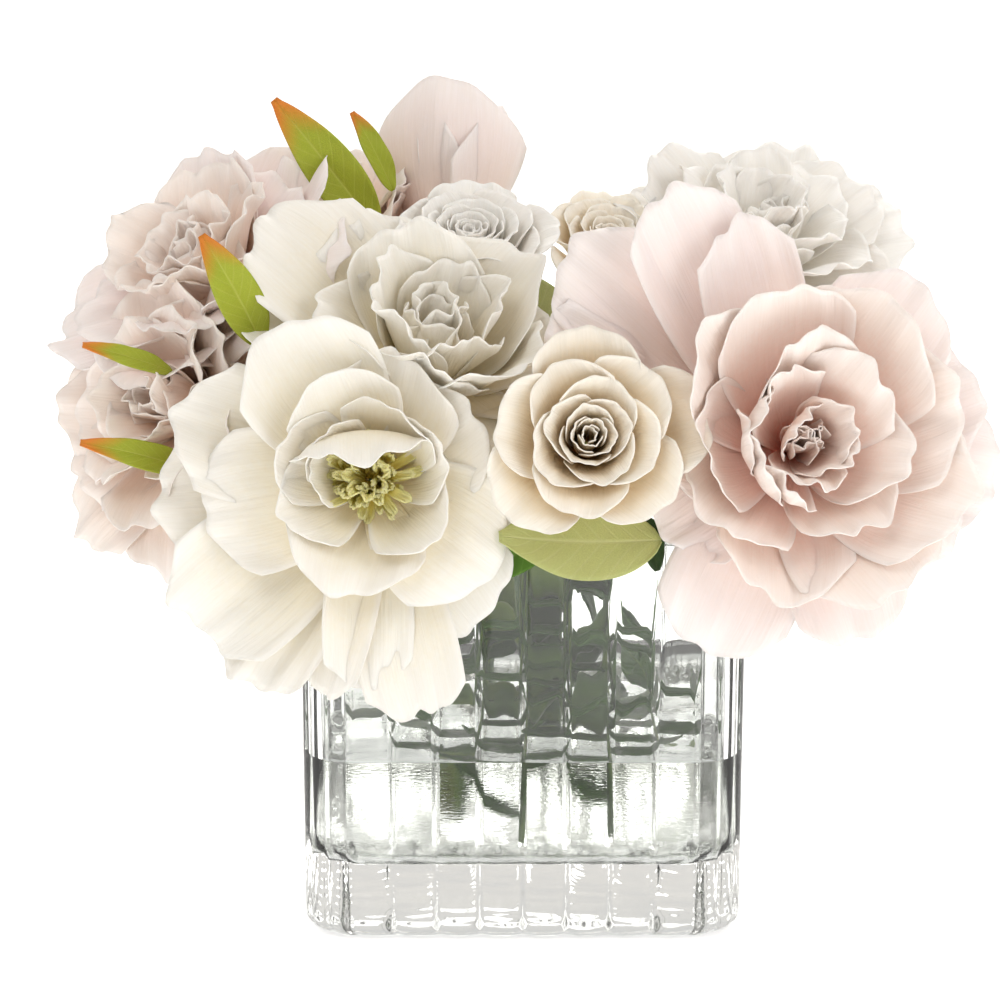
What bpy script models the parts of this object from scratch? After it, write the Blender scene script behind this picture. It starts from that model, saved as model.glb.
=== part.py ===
"""Peonies, garden roses and a bud, tied in a bunch and standing in water in a square fluted glass vase.

The origin is the centre of the vase's flat underside. +Z is up and -Y is the side the large blooms hang over.
Each bloom is a bowl of outer petals round a heart of inner petals, with a calyx below it on its own stem.
"""

import math
from typing import NamedTuple

import bmesh
import bpy
from mathutils import Matrix, Vector

# Vase: a square of pressed glass with convex flutes.
VASE_WIDTH = 0.150
VASE_HEIGHT = 0.140
VASE_WALL = 0.0046
VASE_FLOOR = 0.025
FLUTES_PER_SIDE = 8
FLUTES_PER_CORNER = 3
FLUTE_WIDTH = 0.0146
FLUTE_BULGE = 0.0008
FLUTE_STEPS = 3
FOOT_ROUNDING = 0.006
RIM_ROUNDING = 0.0015
CAVITY_CORNER = 0.012
CAVITY_FLOOR_ROUNDING = 0.010
CAVITY_CORNER_STEPS = 5

# Water
WATER_LEVEL = 0.062
CLEARANCE = 0.0004

# Stems and their tie
STEM_RADIUS = 0.0023
THICK_STEM_RADIUS = 0.0030
FOOT_HEIGHT = 0.0275
TIE_HEIGHT = 0.113
TIE_CENTRE = Vector((0.006, 0.0, TIE_HEIGHT))
OUTER_RING = 0.0096
INNER_RING = 0.0036
TIE_WIDTH = 0.0032
TIE_THICKNESS = 0.0010

# Blooms
PETAL_THICKNESS = 0.0010
BLOOM_GAP = 0.0040
HEART_GAP = 0.0030
NOTCH = 0.20
BOWL_SEGMENTS = 20
BOWL_ROWS = 10
HEART_SEGMENTS = 12
HEART_ROWS = 7
HANGING_SLOPE = math.radians(20.0)
RIM_CLEARANCE = 0.0025

# Leaves
LEAF_THICKNESS = 0.0006
LEAF_ROWS = 8


class Bloom(NamedTuple):
    name: str
    centre: tuple
    faces: tuple
    radius: float
    depth: float
    reach: float
    petals: int
    heart: float
    colour: str
    hangs: bool = False
    slot: int = 0
    foot: float = 0.045


class Leaf(NamedTuple):
    name: str
    base: tuple
    tip: tuple
    faces: tuple
    width: float
    fold: float
    colour: str


# Where a bloom's centre is, the way it faces, its radius, how far its base lies behind the centre, and its
# reach, which sets how neighbours share the space between them. slot is its stem's place in the tie, counted
# anticlockwise from +X, and foot is how far out its stem's foot stands. Slots over 8 are the inner three.
BLOOMS = (
    Bloom("ivory_peony", (-0.050, -0.100, 0.168), (-0.05, -0.95, 0.30), 0.064, 0.026, 0.050, 5, 0.52,
          "ivory", True, 5, 0.046),
    Bloom("upper_ivory_peony", (-0.030, -0.060, 0.203), (0.10, -0.60, 0.80), 0.050, 0.022, 0.044, 5, 0.55,
          "ivory", False, 6, 0.050),
    Bloom("white_rose", (-0.018, -0.026, 0.231), (0.05, -0.45, 0.89), 0.031, 0.019, 0.034, 4, 0.62,
          "white", False, 10, 0.024),
    Bloom("cream_rose", (0.0205, -0.100, 0.181), (0.05, -0.93, 0.35), 0.032, 0.024, 0.042, 5, 0.62,
          "cream", True, 7, 0.040),
    Bloom("blush_peony", (0.090, -0.090, 0.178), (0.12, -0.92, 0.34), 0.066, 0.028, 0.058, 5, 0.52,
          "blush", True, 8, 0.048),
    Bloom("upper_left_blush_peony", (-0.110, -0.018, 0.226), (-0.45, -0.45, 0.77), 0.048, 0.026, 0.046, 5, 0.52,
          "blush", False, 3, 0.044),
    Bloom("lower_left_blush_peony", (-0.122, -0.044, 0.180), (-0.62, -0.70, 0.34), 0.044, 0.026, 0.040, 5, 0.50,
          "blush", False, 4, 0.050),
    Bloom("rear_left_blush_peony", (-0.070, 0.058, 0.226), (-0.30, 0.50, 0.81), 0.050, 0.026, 0.046, 5, 0.52,
          "blush", False, 2, 0.048),
    Bloom("pink_bud", (-0.024, 0.040, 0.250), (0.02, 0.12, 0.99), 0.030, 0.032, 0.032, 3, 0.0,
          "lilac", False, 9, 0.022),
    Bloom("upper_white_peony", (0.086, 0.034, 0.234), (0.20, 0.20, 0.96), 0.046, 0.026, 0.046, 5, 0.55,
          "white", False, 0, 0.046),
    Bloom("rear_white_peony", (0.104, 0.072, 0.196), (0.62, 0.48, 0.62), 0.046, 0.024, 0.042, 5, 0.52,
          "white", False, 1, 0.050),
    Bloom("small_cream_rose", (0.030, 0.020, 0.232), (0.10, 0.15, 0.98), 0.026, 0.019, 0.032, 4, 0.62,
          "cream", False, 11, 0.000),
)
LEAVES = (
    Leaf("orange_tipped_leaf", (-0.050, 0.010, 0.229), (-0.0845, 0.010, 0.2750), (0.10, -0.97, 0.20), 0.016, 0.25,
         "young_leaf"),
    Leaf("small_orange_tipped_leaf", (-0.045, 0.014, 0.243), (-0.0580, 0.018, 0.2700), (0.5, -0.85, 0.10), 0.007,
         0.25, "young_leaf"),
    Leaf("left_orange_tipped_leaf", (-0.076, -0.052, 0.196), (-0.1024, -0.064, 0.2403), (0.20, -0.95, 0.10), 0.014,
         0.25, "young_leaf"),
    Leaf("front_green_leaf", (0.010, -0.0800, 0.1480), (-0.0070, -0.0800, 0.1270), (0.0, -1.0, 0.25), 0.012, 0.20,
         "leaf"),
    Leaf("front_dark_leaf", (0.040, -0.0830, 0.1480), (0.0400, -0.086, 0.1330), (0.0, -1.0, 0.20), 0.009, 0.20,
         "leaf"),
    Leaf("pale_sepal_leaf", (0.016, -0.0860, 0.150), (0.0070, -0.106, 0.1350), (0.0, -0.6, 0.8), 0.022, 0.10,
         "pale_leaf"),
)

COLOURS = {
    "glass": ((0.93, 0.96, 0.95), 0.03, 0.35),
    "water": ((0.90, 0.95, 0.93), 0.02, 0.30),
    "tie": ((0.55, 0.53, 0.48), 0.60, 1.0),
    "ivory": ((0.93, 0.89, 0.79), 0.65, 1.0),
    "white": ((0.94, 0.92, 0.88), 0.65, 1.0),
    "cream": ((0.93, 0.84, 0.70), 0.65, 1.0),
    "blush": ((0.93, 0.77, 0.71), 0.65, 1.0),
    "lilac": ((0.90, 0.78, 0.78), 0.65, 1.0),
    "stamen": ((0.87, 0.76, 0.30), 0.70, 1.0),
    "stem": ((0.13, 0.22, 0.06), 0.55, 1.0),
    "calyx": ((0.25, 0.36, 0.10), 0.60, 1.0),
    "leaf": ((0.16, 0.30, 0.06), 0.55, 1.0),
    "young_leaf": ((0.50, 0.60, 0.12), 0.50, 1.0),
    "pale_leaf": ((0.72, 0.74, 0.42), 0.55, 1.0),
}


def clear_scene():
    for obj in list(bpy.data.objects):
        bpy.data.objects.remove(obj)


def new_collection(name):
    made = bpy.data.collections.new(name)
    bpy.context.scene.collection.children.link(made)
    return made


def material(name):
    """The Principled material of that name, made on first use."""
    found = bpy.data.materials.get(name)
    if found:
        return found
    colour, roughness, alpha = COLOURS[name]
    made = bpy.data.materials.new(name)
    made.use_nodes = True
    shader = made.node_tree.nodes["Principled BSDF"]
    shader.inputs["Base Color"].default_value = (*colour, 1.0)
    shader.inputs["Roughness"].default_value = roughness
    shader.inputs["Metallic"].default_value = 0.0
    shader.inputs["Alpha"].default_value = alpha
    return made


def add_mesh(name, shape, colour, collection, place=None):
    """An object of a bmesh, smooth except at its sharp edges."""
    mesh = bpy.data.meshes.new(name)
    shape.to_mesh(mesh)
    shape.free()
    mesh.shade_smooth()
    mesh.set_sharp_from_angle(angle=math.radians(40.0))
    mesh.materials.append(material(colour))
    obj = bpy.data.objects.new(name, mesh)
    if place is not None:
        obj.matrix_world = place
    collection.objects.link(obj)
    return obj


def as_cutter(obj):
    obj.hide_render = True
    obj.display_type = "WIRE"
    return obj


def cut(obj, cutter):
    difference = obj.modifiers.new("cut_" + cutter.name, "BOOLEAN")
    difference.operation = "DIFFERENCE"
    difference.solver = "EXACT"
    difference.object = cutter


# ---------------------------------------------------------------- vase and water


def quarter_turns(points):
    """The points, then the same points turned a quarter, a half and three quarters round +Z."""
    turned = []
    for quarter in range(4):
        turn = Matrix.Rotation(quarter * math.pi / 2, 2)
        turned += [turn @ point for point in points]
    return turned


def fluted_outline():
    """The vase's outer outline: flutes of one width along each side and narrower ones round each corner."""
    side = VASE_WIDTH / 2 - FLUTE_BULGE
    straight = FLUTES_PER_SIDE * FLUTE_WIDTH / 2
    corner = side - straight
    edges = [Vector((side, -straight + i * FLUTE_WIDTH)) for i in range(FLUTES_PER_SIDE + 1)]
    for i in range(1, FLUTES_PER_CORNER + 1):
        angle = i * math.pi / 2 / FLUTES_PER_CORNER
        edges.append(Vector((straight + corner * math.cos(angle), straight + corner * math.sin(angle))))
    points = []
    for first, last in zip(edges, edges[1:]):
        along = last - first
        outward = Vector((along.y, -along.x)).normalized()
        for step in range(FLUTE_STEPS):
            share = step / FLUTE_STEPS
            points.append(first + along * share + outward * FLUTE_BULGE * 4 * share * (1 - share))
    return quarter_turns(points)


def rounded_square(half, corner):
    """A plain square outline with rounded corners."""
    centre = half - corner
    points = []
    for i in range(CAVITY_CORNER_STEPS + 1):
        angle = i * math.pi / 2 / CAVITY_CORNER_STEPS
        points.append(Vector((centre + corner * math.cos(angle), centre + corner * math.sin(angle))))
    return quarter_turns(points)


def quarter_round(radius, steps=3):
    """(inset, height) along a rounded edge, from the flat bottom to the upright side."""
    angles = [i * math.pi / 2 / steps for i in range(steps + 1)]
    return [(radius * (1 - math.sin(a)), radius * (1 - math.cos(a))) for a in angles]


def stacked(outline, levels):
    """A closed solid whose section at each (inset, height) is the outline, drawn in by the inset."""
    half = max(point.x for point in outline)
    shape = bmesh.new()
    inset, height = levels[0]
    scale = (half - inset) / half
    ring = [shape.verts.new((p.x * scale, p.y * scale, height)) for p in outline]
    face = shape.faces.new(ring)
    for next_inset, next_height in levels[1:]:
        made = bmesh.ops.extrude_discrete_faces(shape, faces=[face])
        face = made["faces"][0]
        grow = (half - next_inset) / (half - inset)
        for vert in face.verts:
            vert.co.x *= grow
            vert.co.y *= grow
            vert.co.z = next_height
        inset = next_inset
    bottom = [v for v in shape.verts if abs(v.co.z - height) < 1e-7]
    if not any(set(f.verts) == set(bottom) for f in shape.faces):
        shape.faces.new(bottom[::-1])
    bmesh.ops.remove_doubles(shape, verts=shape.verts, dist=1e-7)
    bmesh.ops.recalc_face_normals(shape, faces=shape.faces)
    return shape


def cavity(clearance, top):
    """The inside of the vase drawn in by a clearance, up to a height."""
    half = VASE_WIDTH / 2 - VASE_WALL - clearance
    levels = [(inset, VASE_FLOOR + clearance + z) for inset, z in quarter_round(CAVITY_FLOOR_ROUNDING)]
    levels.append((0.0, top))
    return stacked(rounded_square(half, CAVITY_CORNER), levels)


def make_vase(parts, cutters):
    levels = quarter_round(FOOT_ROUNDING)
    levels += [(inset, VASE_HEIGHT - z) for inset, z in reversed(quarter_round(RIM_ROUNDING, 2))]
    vase = add_mesh("vase", stacked(fluted_outline(), levels), "glass", parts)
    inside = as_cutter(add_mesh("vase_cavity", cavity(0.0, VASE_HEIGHT + 0.01), "glass", cutters))
    cut(vase, inside)
    return vase


def make_water(parts, cutters, stem_shapes):
    water = add_mesh("water", cavity(CLEARANCE, WATER_LEVEL), "water", parts)
    for name, points, radius in stem_shapes:
        hole = tube("water_hole_" + name, points, radius + CLEARANCE, "water", cutters, FOOT_HEIGHT - CLEARANCE)
        cut(water, as_cutter(hole))
    return water


# ---------------------------------------------------------------- stems


def tie_slot(slot):
    """Where a stem crosses the tie, and the way it leans there: nine in an outer ring and three inside it."""
    if slot < 9:
        angle = math.radians(20.0 + 40.0 * slot)
        ring = OUTER_RING
    else:
        angle = math.radians(90.0 + 120.0 * (slot - 9))
        ring = INNER_RING
    outward = Vector((math.cos(angle), math.sin(angle), 0.0))
    return TIE_CENTRE + outward * ring, Vector((-outward.y, outward.x, 0.0))


def stem_points(bloom):
    """A stem's foot, its place in the tie and its top, as Bezier points with their handles."""
    crossing, sideways = tie_slot(bloom.slot)
    drop = TIE_HEIGHT - FOOT_HEIGHT
    foot = crossing - sideways * bloom.foot
    foot.z = FOOT_HEIGHT
    lean = (crossing - foot).normalized()
    facing = Vector(bloom.faces).normalized()
    below = bloom.depth + PETAL_THICKNESS + 3 * CLEARANCE + 2 * calyx_size(bloom)[1]
    top = Vector(bloom.centre) - facing * below
    rise = (top - crossing).length
    return (
        (foot, foot - lean * drop / 3, foot + lean * drop / 3),
        (crossing, crossing - lean * drop / 3, crossing + lean * rise * 0.30),
        (top, top - facing * rise * 0.35, top + facing * rise * 0.35),
    )


def tube(name, points, radius, colour, collection, foot_height=None):
    """A round stem along Bezier points, made a mesh with closed ends."""
    curve = bpy.data.curves.new(name, "CURVE")
    curve.dimensions = "3D"
    curve.resolution_u = 6
    curve.bevel_depth = radius
    curve.bevel_resolution = 1
    curve.use_fill_caps = True
    spline = curve.splines.new("BEZIER")
    spline.bezier_points.add(len(points) - 1)
    for point, (place, before, after) in zip(spline.bezier_points, points):
        point.co = place
        point.handle_left = before
        point.handle_right = after
    if foot_height is not None:
        lowest = spline.bezier_points[0]
        lowest.co.z = foot_height
    guide = bpy.data.objects.new(name + "_guide", curve)
    bpy.context.scene.collection.objects.link(guide)
    bpy.context.view_layer.update()
    evaluated = guide.evaluated_get(bpy.context.evaluated_depsgraph_get())
    mesh = bpy.data.meshes.new_from_object(evaluated)
    shape = bmesh.new()
    shape.from_mesh(mesh)
    bmesh.ops.remove_doubles(shape, verts=shape.verts, dist=1e-6)
    bmesh.ops.recalc_face_normals(shape, faces=shape.faces)
    bpy.data.objects.remove(guide)
    bpy.data.meshes.remove(mesh)
    return add_mesh(name, shape, colour, collection)


def make_tie(parts):
    """A flat band round the bunch: a rectangle turned about the bunch's middle."""
    inner = OUTER_RING + STEM_RADIUS * 1.18 + CLEARANCE
    outer = inner + TIE_THICKNESS
    half = TIE_WIDTH / 2
    corners = [(outer, half), (outer, -half), (inner, -half), (inner, half)]
    profile = bmesh.new()
    verts = [profile.verts.new((x, 0.0, z)) for x, z in corners]
    for first, last in zip(verts, verts[1:] + verts[:1]):
        profile.edges.new((first, last))
    band = add_mesh("stem_tie", profile, "tie", parts, Matrix.Translation(TIE_CENTRE))
    screw = band.modifiers.new("turn", "SCREW")
    screw.steps = 24
    screw.render_steps = 24
    screw.use_merge_vertices = True
    screw.merge_threshold = 0.00001
    return band


# ---------------------------------------------------------------- blooms


def calyx_size(bloom):
    """The radius and half height of the green cup under a bloom."""
    return bloom.radius * 0.14 + 0.0010, bloom.radius * 0.05 + 0.0015


def place_of(bloom):
    turn = Vector(bloom.faces).normalized().to_track_quat("Z", "Y").to_matrix().to_4x4()
    return Matrix.Translation(bloom.centre) @ turn


def walls_round(bloom):
    """Planes that a bloom's petals stop at, as (outward direction, distance from its centre)."""
    walls = []
    centre = Vector(bloom.centre)
    for other in BLOOMS:
        if other.name == bloom.name:
            continue
        across = Vector(other.centre) - centre
        share = bloom.reach / (bloom.reach + other.reach)
        walls.append((across.normalized(), across.length * share - BLOOM_GAP / 2))
    if bloom.hangs:
        outward = Vector((0.0, math.cos(HANGING_SLOPE), -math.sin(HANGING_SLOPE)))
        edge = Vector((0.0, -VASE_WIDTH / 2 - RIM_CLEARANCE, VASE_HEIGHT))
    else:
        outward = Vector((0.0, 0.0, -1.0))
        edge = Vector((0.0, 0.0, VASE_HEIGHT + RIM_CLEARANCE))
    walls.append((outward, (edge - centre).dot(outward)))
    return walls


def room(walls, direction):
    """How far the bloom can go from its centre that way."""
    limits = [distance / direction.dot(outward) for outward, distance in walls if direction.dot(outward) > 1e-4]
    return min(limits, default=VASE_WIDTH)


def bowl_radius(bloom, direction, share=1.0):
    """The outer petals' distance from the centre in a local direction: deep at the base, wide at the lobed rim."""
    angle = math.acos(max(-1.0, min(1.0, -direction.z)))
    open_share = min(1.0, angle / math.radians(100.0))
    round_angle = math.atan2(direction.y, direction.x)
    lobe = 1.0 - NOTCH * open_share ** 3 * math.sin(bloom.petals * round_angle / 2) ** 2
    spread = math.sin(open_share * math.pi / 2) ** 1.5
    return share * (bloom.depth + (bloom.radius * lobe - bloom.depth) * spread)


def make_bowl(bloom, name, share, colour, parts, opening_angle):
    """An open bowl of petals: the lower part of a sphere, pushed out to the petals' shape."""
    place = place_of(bloom)
    turn = place.to_3x3()
    walls = walls_round(bloom)
    shape = bmesh.new()
    bmesh.ops.create_uvsphere(shape, u_segments=BOWL_SEGMENTS, v_segments=BOWL_ROWS, radius=1.0)
    top = -math.cos(opening_angle)
    bmesh.ops.delete(shape, geom=[v for v in shape.verts if v.co.z > top], context="VERTS")
    for vert in shape.verts:
        direction = vert.co.normalized()
        limit = room(walls, turn @ direction) * (0.5 + 0.5 * share)
        vert.co = direction * min(bowl_radius(bloom, direction, share), limit)
    bowl = add_mesh(name, shape, colour, parts, place)
    shell = bowl.modifiers.new("thickness", "SOLIDIFY")
    shell.thickness = PETAL_THICKNESS
    shell.offset = -1.0
    return bowl


def make_heart(bloom, parts):
    """The packed inner petals: a ball with low ribs that fits inside the bowl."""
    place = place_of(bloom)
    turn = place.to_3x3()
    walls = walls_round(bloom)
    shape = bmesh.new()
    bmesh.ops.create_uvsphere(shape, u_segments=HEART_SEGMENTS, v_segments=HEART_ROWS, radius=1.0)
    for vert in shape.verts:
        direction = vert.co.normalized()
        ribs = 1.0 + 0.06 * math.cos(6 * math.atan2(direction.y, direction.x)) * (1.0 - direction.z ** 2)
        limit = min(bowl_radius(bloom, direction), room(walls, turn @ direction)) - HEART_GAP - PETAL_THICKNESS
        vert.co = direction * min(bloom.radius * bloom.heart * ribs, limit)
    return add_mesh(bloom.name + "_inner_petals", shape, bloom.colour, parts, place)


def make_stamens(bloom, parts):
    """The tuft in the middle of an open bloom."""
    shape = bmesh.new()
    bmesh.ops.create_uvsphere(shape, u_segments=12, v_segments=6, radius=1.0)
    size = bloom.radius * bloom.heart * 0.42
    for vert in shape.verts:
        vert.co = Vector((vert.co.x * size, vert.co.y * size, vert.co.z * size * 0.7))
    return add_mesh(bloom.name + "_stamens", shape, "stamen", parts, place_of(bloom))


def make_calyx(bloom, parts):
    """The green cup between the bowl and the stem."""
    wide, high = calyx_size(bloom)
    shape = bmesh.new()
    bmesh.ops.create_uvsphere(shape, u_segments=8, v_segments=6, radius=1.0)
    bmesh.ops.scale(shape, vec=(wide, wide, high), verts=shape.verts)
    below = bloom.depth + PETAL_THICKNESS + 2 * CLEARANCE + high
    place = place_of(bloom) @ Matrix.Translation((0.0, 0.0, -below))
    return add_mesh(bloom.name + "_calyx", shape, "calyx", parts, place)


def make_bloom(bloom, parts):
    name = bloom.name
    make_calyx(bloom, parts)
    if name == "ivory_peony":
        make_bowl(bloom, name + "_guard_petals", 1.0, bloom.colour, parts, math.radians(110.0))
        make_bowl(bloom, name + "_inner_petals", bloom.heart, bloom.colour, parts, math.radians(130.0))
        make_stamens(bloom, parts)
    elif bloom.heart:
        make_bowl(bloom, name + "_guard_petals", 1.0, bloom.colour, parts, math.radians(110.0))
        make_heart(bloom, parts)
    else:
        make_bowl(bloom, name + "_petals", 1.0, bloom.colour, parts, math.radians(165.0))


# ---------------------------------------------------------------- leaves


def make_leaf(leaf, parts):
    """A pointed blade folded along its midrib: a flat grid shaped row by row, with Solidify."""
    base = Vector(leaf.base)
    along = Vector(leaf.tip) - base
    length = along.length
    along.normalize()
    normal = Vector(leaf.faces)
    normal = (normal - along * normal.dot(along)).normalized()
    across = along.cross(normal)
    shape = bmesh.new()
    bmesh.ops.create_grid(shape, x_segments=2, y_segments=LEAF_ROWS, size=1.0)
    for vert in shape.verts:
        share = (vert.co.y + 1.0) / 2
        half = 0.0006 + leaf.width / 2 * math.sin(math.pi * share ** 0.85) ** 0.8
        side = vert.co.x * half
        height = leaf.fold * abs(side) + 0.06 * length * math.sin(math.pi * share)
        vert.co = Vector((side, share * length, height))
    place = Matrix((across, along, normal)).transposed().to_4x4()
    place.translation = base
    blade = add_mesh(leaf.name, shape, leaf.colour, parts, place)
    shell = blade.modifiers.new("thickness", "SOLIDIFY")
    shell.thickness = LEAF_THICKNESS
    shell.offset = 0.0
    return blade


def main():
    clear_scene()
    parts = new_collection("peonies_in_vase")
    cutters = new_collection("cutters")
    make_vase(parts, cutters)
    stem_shapes = []
    for bloom in BLOOMS:
        make_bloom(bloom, parts)
        points = stem_points(bloom)
        radius = THICK_STEM_RADIUS if bloom.name == "small_cream_rose" else STEM_RADIUS
        tube(bloom.name + "_stem", points, radius, "stem", parts)
        stem_shapes.append((bloom.name, points, radius))
    make_water(parts, cutters, stem_shapes)
    make_tie(parts)
    for leaf in LEAVES:
        make_leaf(leaf, parts)
    cutters.hide_render = True


main()
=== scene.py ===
"""Looks of the peonies in a fluted glass vase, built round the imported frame."""

import math
import random
from typing import NamedTuple

import bpy
import numpy as np
from mathutils import Matrix, Vector


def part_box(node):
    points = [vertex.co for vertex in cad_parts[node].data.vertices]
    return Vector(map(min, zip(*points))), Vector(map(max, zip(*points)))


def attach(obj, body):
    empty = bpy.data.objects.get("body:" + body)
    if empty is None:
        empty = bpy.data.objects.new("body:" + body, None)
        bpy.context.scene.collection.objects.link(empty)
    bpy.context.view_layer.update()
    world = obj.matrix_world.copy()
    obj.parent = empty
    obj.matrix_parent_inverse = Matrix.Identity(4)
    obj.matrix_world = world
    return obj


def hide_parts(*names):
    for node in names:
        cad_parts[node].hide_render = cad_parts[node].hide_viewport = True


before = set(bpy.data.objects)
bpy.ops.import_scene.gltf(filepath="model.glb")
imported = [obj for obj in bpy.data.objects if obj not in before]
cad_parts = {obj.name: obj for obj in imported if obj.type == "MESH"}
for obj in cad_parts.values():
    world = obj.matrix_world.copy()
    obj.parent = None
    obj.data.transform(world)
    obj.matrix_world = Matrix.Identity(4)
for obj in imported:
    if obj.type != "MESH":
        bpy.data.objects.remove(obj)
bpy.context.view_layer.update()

# ---------------------------------------------------------------- driving values

MM = 0.001
CAMERA_PLACE = (-0.0077, -0.925, 0.366)
CAMERA_DOWN = math.radians(14.0)
CAMERA_LENS = 97.2
SENSOR = 36.0

PETAL_THICKNESS = 0.00035
PUSHED_APART = 0.025
PETAL_ACROSS = 27
PETAL_ALONG = 25

FLUTES_PER_SIDE = 8
FLUTES_PER_CORNER = 3
FLUTE_WIDTH = 0.0146
FLUTE_BULGE = 0.0016
FLUTE_STEPS = 9
INNER_FLUTE_SHARE = 0.35
RIB_DEPTH = 0.0022
FACE_RINGS = 26
ROUNDING_STEPS = 6
INTO_GLASS = 0.0006
MENISCUS = ((0.0, 0.0010), (0.0012, 0.0006), (0.0022, 0.0003), (0.0036, 0.0001), (0.0060, 0.0))
TIE_THICKNESS = 0.0010
TIE_STEPS = 16
TIE_TURNS = 120
WALL = 0.0046
FLOOR_THICKNESS = 0.025
CAVITY_CORNER = 0.012
CAVITY_FLOOR_ROUNDING = 0.011
FOOT_ROUNDING = 0.006
RIM_ROUNDING = 0.0018

STEM_RADIUS = 0.0023
THICK_STEM_RADIUS = 0.0030
FOOT_HEIGHT = 0.0275
OUTER_RING = 0.0096
INNER_RING = 0.0036


class Bloom(NamedTuple):
    """faces is the way the bloom looks. slot and foot place its stem in the tie and on the vase's floor.

    The rear left blush, upper white, rear white and small cream blooms look 37 to 59 degrees further to the
    front here than their CAD bowls do, as their petals do in the photo.
    """

    name: str
    faces: tuple
    slot: int
    foot: float


BLOOMS = {
    bloom.name: bloom
    for bloom in (
        Bloom("ivory_peony", (-0.05, -0.95, 0.30), 5, 0.046),
        Bloom("upper_ivory_peony", (0.10, -0.60, 0.80), 6, 0.050),
        Bloom("white_rose", (0.05, -0.45, 0.89), 10, 0.024),
        Bloom("cream_rose", (0.05, -0.93, 0.35), 7, 0.040),
        Bloom("blush_peony", (0.12, -0.92, 0.34), 8, 0.048),
        Bloom("upper_left_blush_peony", (-0.45, -0.45, 0.77), 3, 0.044),
        Bloom("lower_left_blush_peony", (-0.62, -0.70, 0.34), 4, 0.050),
        Bloom("rear_left_blush_peony", (-0.25, -0.15, 0.95), 2, 0.048),
        Bloom("pink_bud", (0.02, 0.12, 0.99), 9, 0.022),
        Bloom("upper_white_peony", (0.15, -0.42, 0.89), 0, 0.046),
        Bloom("rear_white_peony", (0.35, -0.45, 0.82), 1, 0.050),
        Bloom("small_cream_rose", (0.10, -0.50, 0.86), 11, 0.0),
    )
}


# ---------------------------------------------------------------- materials


def new_material(name):
    made = bpy.data.materials.new(name)
    made.use_nodes = True
    nodes = made.node_tree.nodes
    return made, nodes, made.node_tree.links, nodes["Principled BSDF"]


def add(nodes, kind, **settings):
    node = nodes.new(kind)
    for key, value in settings.items():
        setattr(node, key, value)
    return node


def ramp(nodes, stops):
    """A colour ramp of (place, colour) stops."""
    node = nodes.new("ShaderNodeValToRGB")
    elements = node.color_ramp.elements
    while len(elements) < len(stops):
        elements.new(0.5)
    for element, (place, colour) in zip(elements, stops):
        element.position = place
        element.color = (*colour, 1.0)
    return node


def attribute(nodes, name):
    return add(nodes, "ShaderNodeAttribute", attribute_name=name)


def noise(nodes, links, scale, detail=3.0, vector=None, roughness=0.5):
    node = nodes.new("ShaderNodeTexNoise")
    node.inputs["Scale"].default_value = scale
    node.inputs["Detail"].default_value = detail
    node.inputs["Roughness"].default_value = roughness
    if vector is not None:
        links.new(vector, node.inputs["Vector"])
    return node


def mixed(nodes, links, first, second, factor, blend="MIX"):
    """A colour mix; each argument is a socket or a plain value."""
    node = add(nodes, "ShaderNodeMix", data_type="RGBA", blend_type=blend)
    for socket, value in ((node.inputs["Factor"], factor), (node.inputs["A"], first), (node.inputs["B"], second)):
        if isinstance(value, bpy.types.NodeSocket):
            links.new(value, socket)
        elif isinstance(value, tuple):
            socket.default_value = (*value, 1.0)
        else:
            socket.default_value = value
    return node.outputs["Result"]


def maths(nodes, links, operation, first, second=None, clamp=False):
    node = add(nodes, "ShaderNodeMath", operation=operation, use_clamp=clamp)
    for socket, value in zip(node.inputs, (first, second)):
        if isinstance(value, bpy.types.NodeSocket):
            links.new(value, socket)
        elif value is not None:
            socket.default_value = value
    return node.outputs[0]


def bumped(nodes, links, height, strength, distance, under=None):
    """The normal of a surface with that height, on top of the normal under it."""
    bump = nodes.new("ShaderNodeBump")
    bump.inputs["Strength"].default_value = strength
    bump.inputs["Distance"].default_value = distance
    links.new(height, bump.inputs["Height"])
    if under is not None:
        links.new(under, bump.inputs["Normal"])
    return bump.outputs["Normal"]


def shifted(nodes, links, value, texture, amount):
    """The value moved up and down by the texture."""
    centred = maths(nodes, links, "SUBTRACT", texture.outputs["Fac"], 0.5)
    return maths(nodes, links, "ADD", value, maths(nodes, links, "MULTIPLY", centred, amount))


def petal_coordinates(nodes, links, across_scale, along_scale):
    """A vector that runs across and along each petal, shifted from one petal to the next."""
    across = attribute(nodes, "across")
    along = attribute(nodes, "along")
    tone = attribute(nodes, "tone")
    combined = nodes.new("ShaderNodeCombineXYZ")
    links.new(maths(nodes, links, "MULTIPLY", across.outputs["Fac"], across_scale), combined.inputs["X"])
    links.new(maths(nodes, links, "MULTIPLY", along.outputs["Fac"], along_scale), combined.inputs["Y"])
    links.new(maths(nodes, links, "MULTIPLY", tone.outputs["Fac"], 37.0), combined.inputs["Z"])
    return combined.outputs["Vector"], along, tone


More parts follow.
